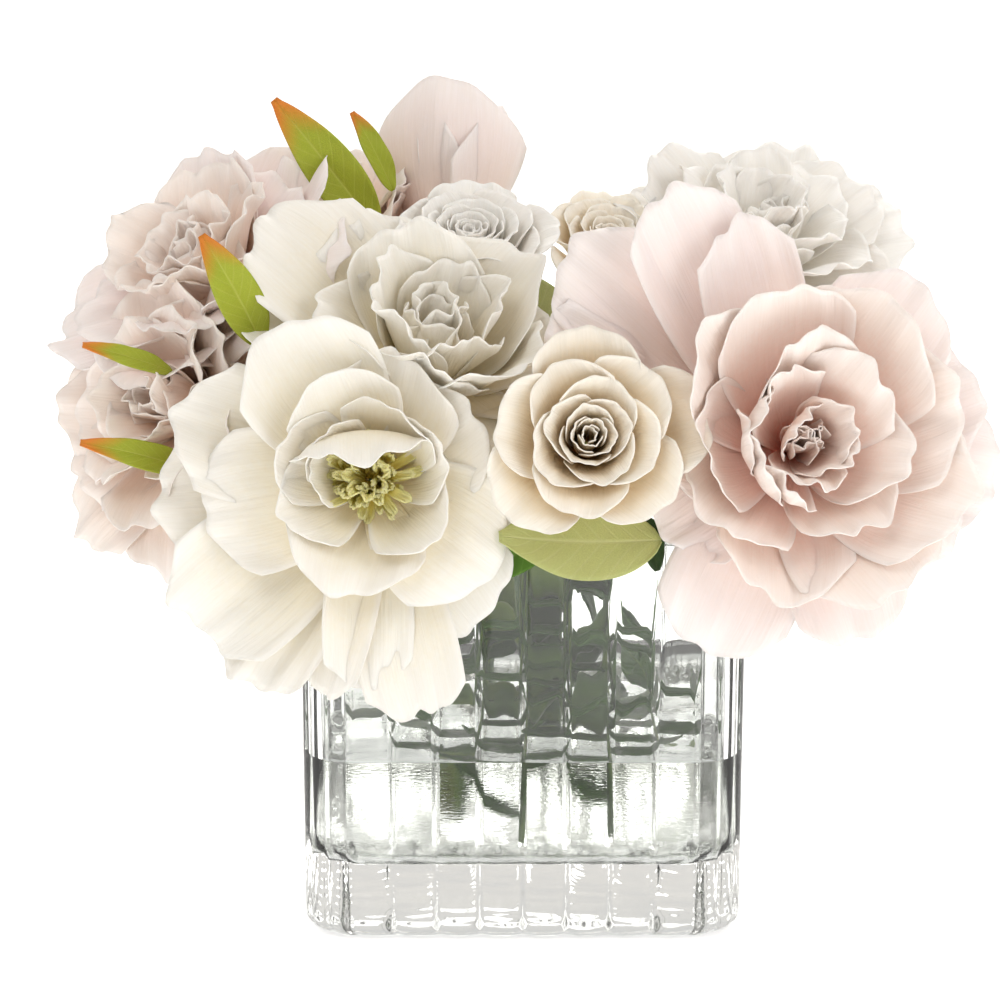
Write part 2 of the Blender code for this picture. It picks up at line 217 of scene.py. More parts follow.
def petal_material(name, deep, mid, pale, rim, reach=0.5, glow=0.28):
    """A satin petal: deep colour at the claw, pale towards the rim, with fine lengthwise veins."""
    made, nodes, links, shader = new_material(name)
    veins_at, along, tone = petal_coordinates(nodes, links, 14.0, 1.2)
    base = ramp(nodes, [(0.0, deep), (reach * 0.55, mid), (reach + 0.35, pale), (1.0, pale)])
    blotch = noise(nodes, links, 55.0, 2.0)
    links.new(shifted(nodes, links, along.outputs["Fac"], blotch, 0.25), base.inputs["Fac"])
    edge = attribute(nodes, "edge")
    rimmed = mixed(nodes, links, base.outputs["Color"], rim,
                   maths(nodes, links, "MULTIPLY", edge.outputs["Fac"], 0.75))
    vein = noise(nodes, links, 3.0, 4.0, veins_at, 0.6)
    vein_tint = ramp(nodes, [(0.35, (0.975, 0.965, 0.95)), (0.65, (1.0, 1.0, 1.0))])
    links.new(vein.outputs["Fac"], vein_tint.inputs["Fac"])
    veined = mixed(nodes, links, rimmed, vein_tint.outputs["Color"], 1.0, "MULTIPLY")
    tone_tint = ramp(nodes, [(0.0, (0.965, 0.955, 0.95)), (1.0, (1.0, 1.0, 1.0))])
    links.new(tone.outputs["Fac"], tone_tint.inputs["Fac"])
    links.new(mixed(nodes, links, veined, tone_tint.outputs["Color"], 1.0, "MULTIPLY"),
              shader.inputs["Base Color"])
    crease_at, _, _ = petal_coordinates(nodes, links, 5.0, 0.7)
    crease = noise(nodes, links, 2.2, 3.0, crease_at)
    weave = noise(nodes, links, 2600.0, 2.0)
    creased = bumped(nodes, links, crease.outputs["Fac"], 0.35, 0.0016)
    veiny = bumped(nodes, links, vein.outputs["Fac"], 0.30, 0.0005, creased)
    links.new(bumped(nodes, links, weave.outputs["Fac"], 0.10, 0.0001, veiny), shader.inputs["Normal"])
    shader.inputs["Roughness"].default_value = 0.58
    shader.inputs["Specular IOR Level"].default_value = 0.30
    shader.inputs["Sheen Weight"].default_value = 0.12
    shader.inputs["Sheen Roughness"].default_value = 0.45
    shader.inputs["Subsurface Weight"].default_value = glow
    shader.inputs["Subsurface Radius"].default_value = (1.0, 0.88, 0.78)
    shader.inputs["Subsurface Scale"].default_value = 0.0010
    return made


def leaf_material(name, blade, vein_colour, tip=None, roughness=0.45):
    """A leaf: paler along its midrib and side veins, and in some leaves an orange tip."""
    made, nodes, links, shader = new_material(name)
    across = attribute(nodes, "across")
    along = attribute(nodes, "along")
    absolute = maths(nodes, links, "ABSOLUTE", across.outputs["Fac"])
    slanted = maths(nodes, links, "SUBTRACT", along.outputs["Fac"],
                    maths(nodes, links, "MULTIPLY", absolute, 0.22))
    ribs = maths(nodes, links, "SINE", maths(nodes, links, "MULTIPLY", slanted, 58.0))
    rib_mask = maths(nodes, links, "MULTIPLY", maths(nodes, links, "POWER", maths(
        nodes, links, "MAXIMUM", ribs, 0.0), 8.0), 0.35)
    midrib = maths(nodes, links, "SUBTRACT", 1.0, maths(nodes, links, "MULTIPLY", absolute, 12.0),
                   clamp=True)
    line = maths(nodes, links, "MAXIMUM", rib_mask, midrib)
    blotch = noise(nodes, links, 140.0, 3.0)
    shade = ramp(nodes, [(0.3, tuple(c * 0.72 for c in blade)), (0.7, blade)])
    links.new(blotch.outputs["Fac"], shade.inputs["Fac"])
    colour = mixed(nodes, links, shade.outputs["Color"], vein_colour,
                   maths(nodes, links, "MULTIPLY", line, 0.55))
    if tip is not None:
        tip_mask = ramp(nodes, [(0.76, (0.0, 0.0, 0.0)), (1.0, (1.0, 1.0, 1.0))])
        wobble = shifted(nodes, links, along.outputs["Fac"], blotch, 0.2)
        edge_pull = maths(nodes, links, "ADD", wobble, maths(nodes, links, "MULTIPLY", absolute, 0.10))
        links.new(edge_pull, tip_mask.inputs["Fac"])
        colour = mixed(nodes, links, colour, tip, tip_mask.outputs["Color"])
    links.new(colour, shader.inputs["Base Color"])
    relief = maths(nodes, links, "SUBTRACT", blotch.outputs["Fac"], line)
    links.new(bumped(nodes, links, relief, 0.5, 0.0006), shader.inputs["Normal"])
    shader.inputs["Roughness"].default_value = roughness
    shader.inputs["Specular IOR Level"].default_value = 0.4
    shader.inputs["Subsurface Weight"].default_value = 0.12
    shader.inputs["Subsurface Radius"].default_value = (0.5, 1.0, 0.2)
    shader.inputs["Subsurface Scale"].default_value = 0.001
    return made


def stem_material():
    """Green stems with reddish brown stretches and fine lengthwise grain."""
    made, nodes, links, shader = new_material("stem")
    place = nodes.new("ShaderNodeTexCoord")
    stretch = nodes.new("ShaderNodeMapping")
    stretch.inputs["Scale"].default_value = (1.0, 1.0, 0.22)
    links.new(place.outputs["Object"], stretch.inputs["Vector"])
    patches = noise(nodes, links, 95.0, 4.0, stretch.outputs["Vector"])
    colours = ramp(nodes, [(0.30, (0.025, 0.070, 0.006)), (0.50, (0.075, 0.165, 0.012)),
                           (0.62, (0.20, 0.31, 0.03)), (0.74, (0.14, 0.050, 0.020))])
    links.new(patches.outputs["Fac"], colours.inputs["Fac"])
    links.new(colours.outputs["Color"], shader.inputs["Base Color"])
    grain = noise(nodes, links, 900.0, 3.0, stretch.outputs["Vector"])
    links.new(bumped(nodes, links, grain.outputs["Fac"], 0.4, 0.0003), shader.inputs["Normal"])
    shader.inputs["Roughness"].default_value = 0.42
    return made


def tie_material():
    made, nodes, links, shader = new_material("tie")
    fine = noise(nodes, links, 700.0, 3.0)
    colours = ramp(nodes, [(0.3, (0.30, 0.30, 0.27)), (0.7, (0.46, 0.46, 0.42))])
    links.new(fine.outputs["Fac"], colours.inputs["Fac"])
    links.new(colours.outputs["Color"], shader.inputs["Base Color"])
    shader.inputs["Roughness"].default_value = 0.5
    return made


def stamen_material():
    made, nodes, links, shader = new_material("stamen")
    along = attribute(nodes, "along")
    colours = ramp(nodes,
                   [(0.0, (0.94, 0.74, 0.12)), (0.55, (0.96, 0.85, 0.28)), (0.90, (0.96, 0.90, 0.42))])
    speckle = noise(nodes, links, 1500.0, 2.0)
    links.new(shifted(nodes, links, along.outputs["Fac"], speckle, 0.2), colours.inputs["Fac"])
    links.new(colours.outputs["Color"], shader.inputs["Base Color"])
    links.new(bumped(nodes, links, speckle.outputs["Fac"], 1.0, 0.0002), shader.inputs["Normal"])
    shader.inputs["Roughness"].default_value = 0.6
    shader.inputs["Subsurface Weight"].default_value = 0.2
    shader.inputs["Subsurface Radius"].default_value = (1.0, 0.8, 0.2)
    shader.inputs["Subsurface Scale"].default_value = 0.001
    return made


def clear_material(name, colour, ior, waves_scale, detail, stretch_up, strength, distance):
    """A clear material with a faintly wavy surface."""
    made, nodes, links, shader = new_material(name)
    vector = None
    if stretch_up is not None:
        place = nodes.new("ShaderNodeTexCoord")
        stretch = nodes.new("ShaderNodeMapping")
        stretch.inputs["Scale"].default_value = (1.0, 1.0, stretch_up)
        links.new(place.outputs["Object"], stretch.inputs["Vector"])
        vector = stretch.outputs["Vector"]
    waves = noise(nodes, links, waves_scale, detail, vector)
    links.new(bumped(nodes, links, waves.outputs["Fac"], strength, distance), shader.inputs["Normal"])
    shader.inputs["Base Color"].default_value = (*colour, 1.0)
    shader.inputs["Roughness"].default_value = 0.0
    shader.inputs["IOR"].default_value = ior
    shader.inputs["Transmission Weight"].default_value = 1.0
    return made


def glass_material():
    """Clear pressed glass, with the waviness of a moulded surface."""
    return clear_material("clear_glass", (0.94, 0.95, 0.94), 1.50, 70.0, 1.0, 0.35, 0.5, 0.0009)


def water_material():
    return clear_material("water", (0.965, 0.975, 0.96), 1.333, 60.0, 2.0, None, 0.15, 0.0006)


# ---------------------------------------------------------------- meshes


def finish_piece(name, mesh, material, cad_nodes):
    """A smooth-shaded piece of the object that rides with the vase and stands for its CAD nodes."""
    mesh.shade_smooth()
    mesh.materials.append(material)
    obj = bpy.data.objects.new(name, mesh)
    bpy.context.scene.collection.objects.link(obj)
    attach(obj, "root")
    if cad_nodes:
        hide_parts(*cad_nodes)
    return obj


def grid_faces(rows, columns, offset=0):
    faces = []
    for row in range(rows - 1):
        for column in range(columns - 1):
            a = offset + row * columns + column
            faces.append((a, a + 1, a + columns + 1, a + columns))
    return faces


def float_attribute(mesh, name, values):
    layer = mesh.attributes.new(name, "FLOAT", "POINT")
    layer.data.foreach_set("value", np.asarray(values, np.float32).ravel())


class Sheets:
    """Collects open sheets (petals, sepals, leaves) that make one piece."""

    def __init__(self):
        self.points = []
        self.faces = []
        self.along = []
        self.across = []
        self.edge = []
        self.tone = []
        self.count = 0

    def add_sheet(self, points, along, across, edge, tone):
        rows, columns = along.shape
        self.faces += grid_faces(rows, columns, self.count)
        self.points.append(points.reshape(-1, 3))
        self.along.append(along.ravel())
        self.across.append(across.ravel())
        self.edge.append(edge.ravel())
        self.tone.append(np.full(along.size, tone))
        self.count += along.size

    def piece(self, name, material, cad_nodes, slot, thickness=PETAL_THICKNESS):
        mesh = bpy.data.meshes.new(name)
        points = np.concatenate(self.points)
        mesh.from_pydata(points.tolist(), [], self.faces)
        mesh.update()
        float_attribute(mesh, "along", np.concatenate(self.along))
        float_attribute(mesh, "across", np.concatenate(self.across))
        float_attribute(mesh, "edge", np.concatenate(self.edge))
        float_attribute(mesh, "tone", np.concatenate(self.tone))
        obj = finish_piece(name, mesh, material, cad_nodes)
        shell = obj.modifiers.new("thickness", "SOLIDIFY")
        shell.thickness = thickness
        shell.offset = 0.0
        return obj


def smooth_step(low, high, values):
    share = np.clip((values - low) / (high - low), 0.0, 1.0)
    return share * share * (3.0 - 2.0 * share)


class Petal(NamedTuple):
    """One petal in its bloom's frame. Lengths are in mm and angles in degrees.

    azimuth is anticlockwise from the right as one looks into the bloom. start and end are the angles
    between the petal's midline and the bloom's axis, at its claw and at its rim. cup is how far the sides
    turn inwards, and lip how far the rim turns outwards. sweep bends the petal sideways, and roll turns it
    about its midline.
    """

    azimuth: float
    length: float
    width: float
    start: float
    end: float
    cup: float = 30.0
    lip: float = 0.0
    ruffle: float = 1.0
    ring: float = 2.0
    rise: float = 0.0
    sweep: float = 0.0
    roll: float = 0.0
    notch: float = 0.0
    bend: float = 1.0
    round_tip: float = 0.30
    claw: float = 0.25


def petal_sheet(petal, seed):
    """The petal's points in the bloom's frame in metres, with its along, across and edge values."""
    draw = random.Random(seed)
    across = np.linspace(-1.0, 1.0, PETAL_ACROSS)
    along = np.linspace(0.0, 1.0, PETAL_ALONG)
    u, v = np.meshgrid(across, along)
    phases = [draw.uniform(0.0, 2.0 * math.pi) for _ in range(6)]
    # The rim's outline: round, with a shallow notch and small scallops.
    slim = min(1.15, petal.width / petal.length)
    outline = 1.0 - petal.round_tip * slim * np.abs(u) ** 2.4 - petal.notch * np.exp(-(u / 0.16) ** 2)
    outline += 0.020 * slim * petal.ruffle * (np.sin(5.0 * u + phases[0]) + 0.7 * np.sin(11.0 * u + phases[1]))
    s = v * outline
    # The width: narrow at the claw, widest near three quarters, drawn in at the rim.
    peak = 0.72
    grow = np.sin(np.clip(s / peak, 0.0, 1.0) * math.pi / 2) ** 0.85
    draw_in = 0.12 * np.clip((s - peak) / (1.0 - peak), 0.0, 1.2) ** 2
    half = petal.width / 2 * (petal.claw + (1.0 - petal.claw) * grow) * (1.0 - draw_in)
    # The midline in the plane of the bloom's axis.
    fine = np.linspace(0.0, 1.15, 140)
    start, end = math.radians(petal.start), math.radians(petal.end)
    angle = start + (end - start) * np.clip(fine, 0.0, 1.15) ** petal.bend
    angle += math.radians(petal.lip) * smooth_step(0.62, 1.0, fine)
    step = fine[1] * petal.length
    radius_line = petal.ring + np.concatenate([[0.0], np.cumsum(np.sin(angle[:-1]) * step)])
    height_line = petal.rise + np.concatenate([[0.0], np.cumsum(np.cos(angle[:-1]) * step)])
    radius = np.interp(s, fine, radius_line)
    height = np.interp(s, fine, height_line)
    tilt = np.interp(s, fine, angle)
    # The cross-section: an arc that turns inwards by the cup angle, and waves that grow towards the rim.
    curl = math.radians(max(abs(petal.cup), 0.5)) * (1.0 - 0.35 * s)
    sign = 1.0 if petal.cup >= 0 else -1.0
    side = half * np.sin(curl * u) / curl
    depth = sign * half * (1.0 - np.cos(curl * u)) / curl
    wave = petal.width * 0.038 * petal.ruffle
    depth += wave * s ** 1.6 * (np.sin(3.1 * u + phases[2]) + 0.8 * np.sin(2.0 * u - 3.0 * s + phases[3]))
    frill = smooth_step(0.60, 1.0, np.maximum(v, np.abs(u) * np.sqrt(v)))
    depth += 0.75 * petal.ruffle * frill * np.sin(9.0 * u + 5.0 * s + phases[4])
    depth += 0.38 * petal.ruffle * frill * np.sin(17.0 * u - 6.0 * s + phases[5])
    turn = math.radians(petal.roll) * s
    turned_side = side * np.cos(turn) - depth * np.sin(turn)
    turned_depth = side * np.sin(turn) + depth * np.cos(turn)
    turned_side += petal.sweep * s ** 1.5
    out = radius - turned_depth * np.cos(tilt)
    up = height + turned_depth * np.sin(tilt)
    azimuth = math.radians(petal.azimuth)
    x = out * math.cos(azimuth) - turned_side * math.sin(azimuth)
    y = out * math.sin(azimuth) + turned_side * math.cos(azimuth)
    edge = smooth_step(0.80, 1.0, np.maximum(v, np.abs(u) * smooth_step(0.05, 0.4, v)))
    points = np.stack([x, y, up], axis=-1) * MM
    return points, v, u, edge


def bloom_frame(name, lift=0.0):
    """The bloom's origin, on its calyx, and its x, y and z axes.

    x is to the right and y up as one looks into the bloom, and z is the way it faces.
    """
    low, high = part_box(name + "_calyx")
    facing = Vector(BLOOMS[name].faces).normalized()
    right = Vector((0.0, 0.6, 0.8)).cross(facing).normalized()
    up = facing.cross(right)
    turn = np.array([list(right), list(up), list(facing)])
    origin = np.array((low + high) / 2) + np.array(facing) * lift
    return origin, turn


VASE_LOW, VASE_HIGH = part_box("vase")


def clear_of_vase(points):
    """Pushes points that are inside the vase to just outside its front face, or above its rim."""
    margin = 0.0022
    half = VASE_HIGH.x + margin
    top = VASE_HIGH.z + margin
    flat = points.reshape(-1, 3)
    inside = (np.abs(flat[:, 0]) < half) & (np.abs(flat[:, 1]) < half) & (flat[:, 2] < top) & (flat[:,
                                                                                                    2] > 0)
    front = flat[:, 1] + half
    above = top - flat[:, 2]
    to_front = inside & (front < above * 2.5)
    flat[to_front, 1] = -half - PUSHED_APART * front[to_front]
    to_top = inside & ~to_front
    flat[to_top, 2] = top
    return flat.reshape(points.shape)


def place_petals(name, petals, seed, lift=0.0):
    """The petals as sheets, in the frame that the whole part shares."""
    origin, turn = bloom_frame(name, lift)
    sheets = Sheets()
    for index, petal in enumerate(petals):
        points, along, across, edge = petal_sheet(petal, seed * 1000 + index)
        points = clear_of_vase(points @ turn + origin)
        tone = random.Random(seed * 7919 + index).random()
        sheets.add_sheet(points, along, across, edge, tone)
    return sheets


def petal_piece(name, part, petals, material, slot, seed, lift, thickness=PETAL_THICKNESS):
    """The piece that stands for that part of a bloom in CAD."""
    sheets = place_petals(name, petals, seed, lift)
    sheets.piece(f"{name}_{part}_looks", material, [f"{name}_{part}"], slot, thickness)


def whorl(count, first, length, width, start, end, seed=1, jitter=1.0, **more):
    """Evenly spaced petals with small differences between them."""
    draw = random.Random(seed)
    petals = []
    for index in range(count):
        petals.append(Petal(
            azimuth=first + 360.0 * index / count + draw.uniform(-8.0, 8.0) * jitter,
            length=length * draw.uniform(1.0 - 0.09 * jitter, 1.0 + 0.09 * jitter),
            width=width * draw.uniform(1.0 - 0.10 * jitter, 1.0 + 0.10 * jitter),
            start=start + draw.uniform(-6.0, 6.0) * jitter,
            end=end + draw.uniform(-9.0, 9.0) * jitter,
            sweep=draw.uniform(-0.07, 0.07) * length * jitter,
            roll=draw.uniform(-9.0, 9.0) * jitter,
            **more,
        ))
    return petals


def rose_petals(radius, turns=15, seed=1, openness=1.0):
    """Petals of a garden rose: wrapped tightly at the heart, each further out, wider and more open."""
    draw = random.Random(seed)
    petals = []
    for index in range(turns):
        share = index / (turns - 1)
        ring = radius * (0.05 + 0.42 * share ** 1.25)
        wrap = 128.0 - 72.0 * share
        petals.append(Petal(
            azimuth=index * 137.5 + draw.uniform(-8.0, 8.0),
            length=radius * (0.72 + 0.40 * share),
            width=2.0 * math.radians(wrap) * (ring + radius * 0.10 * share),
            start=14.0 + 34.0 * share * openness,
            end=-17.0 + 57.0 * share ** 1.5 * openness,
            cup=wrap,
            lip=18.0 + 42.0 * share * openness,
            ruffle=0.35 + 0.35 * share,
            ring=ring * 0.55,
            rise=radius * (0.16 - 0.10 * share),
            round_tip=0.10 + 0.12 * share,
            claw=0.55 - 0.25 * share,
        ))
    return petals


# ---------------------------------------------------------------- blooms


def make_ivory_peony(petal, stamen):
    guard = [
        Petal(119, 60, 50, 62, 58, 42, lip=18, notch=0.02, rise=2),
        Petal(160, 66, 44, 72, 76, 24, rise=-1, ruffle=1.6),
        Petal(190, 54, 48, 66, 88, 18, lip=20, rise=3),
        Petal(184, 69, 46, 82, 88, 14, rise=-2, ruffle=1.5),
        Petal(218, 75, 48, 76, 92, 12, lip=15, rise=-1, ruffle=1.7),
        Petal(236, 76, 38, 80, 98, 10, rise=0, ruffle=1.5, roll=25),
        Petal(255, 70, 30, 70, 108, 16, rise=1, roll=35),
        Petal(268, 66, 30, 66, 105, 14, rise=2, roll=-20),
        Petal(281, 78, 34, 70, 108, 16, rise=1, notch=0.05),
        Petal(322, 50, 50, 60, 88, 20, lip=42, rise=5, ruffle=0.8),
        Petal(306, 57, 44, 74, 98, 12, lip=20, rise=1),
        Petal(345, 48, 44, 70, 85, 18, rise=0),
        Petal(30, 44, 44, 60, 62, 28, rise=0),
        Petal(70, 46, 46, 56, 50, 34, rise=0),
    ]
    inner = [
        Petal(108, 44, 40, 60, 30, 45, lip=8, rise=4, ruffle=0.6),
        Petal(160, 38, 34, 70, 22, 55, rise=5, ruffle=0.5),
        Petal(205, 36, 34, 72, 20, 50, lip=12, rise=5, ruffle=0.7),
        Petal(258, 42, 50, 82, 20, 50, lip=60, rise=5, ruffle=1.2),
        Petal(318, 38, 36, 78, 12, 62, lip=24, rise=5, ruffle=0.6),
        Petal(20, 36, 34, 70, 12, 60, lip=10, rise=5, ruffle=0.6),
        Petal(60, 40, 38, 66, 2, 56, lip=-10, rise=5, ruffle=0.7),
        Petal(98, 48, 50, 72, -70, 58, lip=30, rise=6, ruffle=1.3),
        Petal(140, 34, 28, 62, 0, 62, rise=6, ruffle=0.5),
        Petal(180, 30, 22, 58, 4, 70, rise=7, ruffle=0.5),
    ]
    petal_piece("ivory_peony", "guard_petals", guard, petal, "ivory_petal", 11, 0.005)
    petal_piece("ivory_peony", "inner_petals", inner, petal, "ivory_petal", 12, 0.005)
    make_stamens("ivory_peony", stamen, 0.016)


def make_stamens(name, material, lift):
    """Strap-like yellow filaments round a few pale pistils."""
    draw = random.Random(5)
    petals = []
    for index in range(58):
        petals.append(Petal(
            azimuth=index * 137.5, length=draw.uniform(10.0, 18.0), width=draw.uniform(1.6, 4.2),
            start=draw.uniform(5.0, 74.0), end=draw.uniform(-20.0, 70.0), cup=70.0, ruffle=0.6,
            ring=draw.uniform(0.5, 6.0), sweep=draw.uniform(-3.0, 3.0), claw=0.7, round_tip=0.5))
    for index in range(7):
        petals.append(Petal(
            azimuth=index * 51.0 + 20.0, length=15.0, width=7.5, start=24.0, end=-6.0, cup=130.0,
            ruffle=0.6,
            ring=3.2, rise=1.0, claw=0.8, round_tip=0.6, lip=50.0))
    petal_piece(name, "stamens", petals, material, "stamen", 13, lift, 0.0006)


def make_upper_ivory_peony(petal):
    guard = [
        Petal(150, 74, 58, 58, 60, 30, lip=18, rise=6, ruffle=1.5),
        Petal(174, 66, 50, 64, 66, 24, lip=10, rise=4, ruffle=1.5),
        Petal(120, 60, 50, 58, 56, 34, rise=1, ruffle=1.4),
        Petal(326, 62, 46, 72, 100, 16, lip=15, rise=3, ruffle=1.5),
        Petal(298, 48, 40, 64, 96, 18, lip=18, rise=4, ruffle=1.5),
        Petal(350, 52, 44, 66, 72, 26, rise=1),
        Petal(20, 46, 44, 60, 60, 30, rise=1),
        Petal(70, 48, 46, 56, 50, 32, rise=1),
        Petal(205, 50, 44, 68, 78, 22, rise=1, ruffle=1.4),
        Petal(250, 40, 40, 64, 88, 18, rise=2, ruffle=1.4),
    ]
    inner = whorl(5, 34, 54, 50, 52, 18, seed=21, cup=48, lip=24, rise=3, ruffle=1.6)
    inner += whorl(5, 70, 46, 38, 36, 4, seed=22, cup=60, lip=18, rise=4, ruffle=1.6)
    inner += whorl(5, 12, 38, 28, 18, -8, seed=23, cup=72, lip=14, rise=5, ruffle=1.6)
    petal_piece("upper_ivory_peony", "guard_petals", guard, petal, "ivory_petal", 24, 0.004)
    petal_piece("upper_ivory_peony", "inner_petals", inner, petal, "ivory_petal", 25, 0.004)


def make_blush_peony(petal):
    guard = [
        Petal(143, 98, 44, 74, 76, 20, lip=15, rise=-2, ruffle=1.3),
        Petal(155, 90, 38, 76, 74, 20, lip=15, rise=-2, ruffle=1.3),
        Petal(124, 96, 42, 70, 62, 26, rise=-1, ruffle=1.5),
        Petal(112, 80, 36, 64, 58, 24, rise=-1, ruffle=1.5),
        Petal(55, 68, 46, 66, 64, 24, lip=12, rise=-1),
        Petal(20, 64, 46, 72, 72, 20, rise=-1),
        Petal(355, 68, 44, 74, 80, 18, lip=15, rise=-2),
        Petal(330, 60, 44, 74, 80, 18, rise=-1),
        Petal(292, 66, 40, 74, 92, 16, lip=10, rise=0),
        Petal(248, 72, 46, 72, 98, 14, lip=12, rise=0),
        Petal(215, 52, 40, 72, 86, 18, rise=0),
        Petal(180, 46, 40, 68, 74, 22, rise=0),
    ]
    inner = [
        # The bowl of broad petals.
        Petal(62, 64, 60, 62, 22, 42, lip=22, rise=3, ruffle=1.2),
        Petal(20, 60, 56, 68, 32, 38, lip=22, rise=2, ruffle=1.3),
        Petal(340, 62, 58, 74, 36, 36, lip=20, rise=2, ruffle=1.3),
        Petal(304, 62, 56, 80, 44, 34, lip=22, rise=2, ruffle=1.3),
        Petal(262, 56, 48, 80, 40, 38, lip=14, rise=2, ruffle=1.2),
        Petal(225, 54, 46, 76, 22, 44, lip=8, rise=2, ruffle=1.1),
        Petal(188, 54, 46, 72, 10, 48, lip=6, rise=2, ruffle=1.0),
        Petal(142, 66, 46, 68, 16, 44, lip=12, rise=2, ruffle=1.0),
        Petal(108, 66, 50, 64, 16, 48, lip=14, rise=2, ruffle=1.1),
        # The folded petals inside it.
        Petal(95, 54, 42, 50, 2, 58, lip=34, rise=4, ruffle=1.5, roll=12),
        Petal(58, 50, 44, 44, 6, 50, lip=34, rise=4, ruffle=1.4),
        Petal(350, 46, 42, 54, 12, 48, lip=30, rise=4, ruffle=1.4, roll=-12),
        Petal(305, 46, 40, 62, 20, 46, lip=26, rise=4, ruffle=1.4),
        Petal(172, 52, 34, 58, -14, 52, rise=4, ruffle=1.3),
        Petal(205, 52, 36, 62, -16, 50, rise=4, ruffle=1.3),
        Petal(236, 48, 32, 60, -12, 54, rise=4, ruffle=1.4),
        Petal(130, 48, 32, 46, -4, 58, lip=14, rise=5, ruffle=1.4),
        # The deep heart.
        Petal(268, 38, 28, 38, 2, 62, lip=28, rise=6, ruffle=1.4),
        Petal(325, 36, 26, 30, -4, 62, lip=28, rise=6, ruffle=1.4),
        Petal(25, 36, 26, 28, -4, 62, lip=34, rise=6, ruffle=1.4),
        Petal(150, 36, 24, 22, -8, 66, rise=7, ruffle=1.3),
    ]
    inner += whorl(4, 40, 31, 18, 8, -8, seed=33, jitter=0.6, cup=100, rise=3, ring=0.8, ruffle=1.2)
    petal_piece("blush_peony", "guard_petals", guard, petal["lilac"], "blush_petal", 31, 0.005)
    petal_piece("blush_peony", "inner_petals", inner, petal["blush"], "blush_petal", 32, 0.005)


def make_plain_peony(name, radius, guard_material, inner_material, slot, seed):
    """A half-open peony: broad guard petals, a loose cup and a crumpled heart."""
    size = radius / MM
    guard = whorl(7, seed * 17, size * 1.24, size * 1.12, 60, 76, seed=seed, cup=26, lip=12, ruffle=1.6)
    guard += whorl(6, seed * 29, size * 1.08, size * 1.00, 48, 56, seed=seed + 1, cup=34, lip=14, rise=2,
                   ruffle=1.5)
    inner = whorl(5, seed * 37, size * 0.98, size * 0.92, 36, 32, seed=seed + 2, cup=44, lip=24, rise=3,
                  ruffle=1.6)
    inner += whorl(5, seed * 41, size * 0.84, size * 0.68, 24, 6, seed=seed + 3, cup=60, lip=20, rise=4,
                   ruffle=1.6)
    inner += whorl(4, seed * 43, size * 0.68, size * 0.48, 10, -8, seed=seed + 4, cup=76, rise=5,
                   ruffle=1.5)
    petal_piece(name, "guard_petals", guard, guard_material, slot, seed * 3, 0.004)
    petal_piece(name, "inner_petals", inner, inner_material, slot, seed * 3 + 1, 0.004)


def make_rose(name, radius, material, slot, seed, openness=1.0):
    petals = rose_petals(radius / MM, 22, seed, openness)
    cut = 13
    petal_piece(name, "guard_petals", petals[cut:], material, slot, seed * 3, 0.003)
    petal_piece(name, "inner_petals", petals[:cut], material, slot, seed * 3 + 1, 0.003)


def make_bud(material):
    """Closed: broad petals that wrap each other to a point."""
    petals = [
        Petal(255, 67, 62, 46, -22, 58, rise=0, ruffle=0.5, ring=4, round_tip=0.40, bend=0.8),
        Petal(335, 58, 50, 52, -18, 60, lip=8, rise=0, ruffle=0.3, ring=3, round_tip=0.40, bend=0.8),
        Petal(200, 60, 46, 46, -22, 66, lip=6, rise=0, ruffle=0.3, ring=3, round_tip=0.40, bend=0.8),
        Petal(90, 62, 50, 44, -22, 64, rise=0, ruffle=0.3, ring=3, round_tip=0.40, bend=0.8),
        Petal(20, 62, 46, 42, -24, 70, rise=1, ruffle=0.3, ring=2, round_tip=0.45, bend=0.8),
        Petal(150, 62, 46, 42, -24, 70, rise=1, ruffle=0.3, ring=2, round_tip=0.45, bend=0.8),
    ]
    petal_piece("pink_bud", "petals", petals, material, "lilac_petal", 61, 0.003)


def make_calyxes(material):
    """Under each bloom, a green cup of five sepals and five longer ones that spread under the petals."""
    for index, name in enumerate(BLOOMS):
        low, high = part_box(name + "_calyx")
        size = (high - low).length / MM * 0.32
        sepals = whorl(5, index * 31, size * 1.9, size * 1.2, 88, 62, seed=index + 90, cup=30, ring=0.3,
                       rise=-2,
                       claw=0.7, round_tip=0.75, ruffle=0.4)
        sepals += whorl(5, index * 31 + 36, size * 1.0, size * 1.1, 100, 20, seed=index + 190, cup=60,
                        ring=0.3,
                        rise=-3.2, claw=0.7, round_tip=0.4, ruffle=0.2)
        petal_piece(name, "calyx", sepals, material, "calyx", 70 + index, 0.0, 0.0007)


# ---------------------------------------------------------------- leaves


class Leaf(NamedTuple):
    """A leaf between two points. faces is the way its upper side looks.

    arch bows the leaf, and fold creases its midrib.
    """

    name: str
    base: tuple
    tip: tuple
    faces: tuple
    width: float
    fold: float
    arch: float
    kind: str
    slot: str


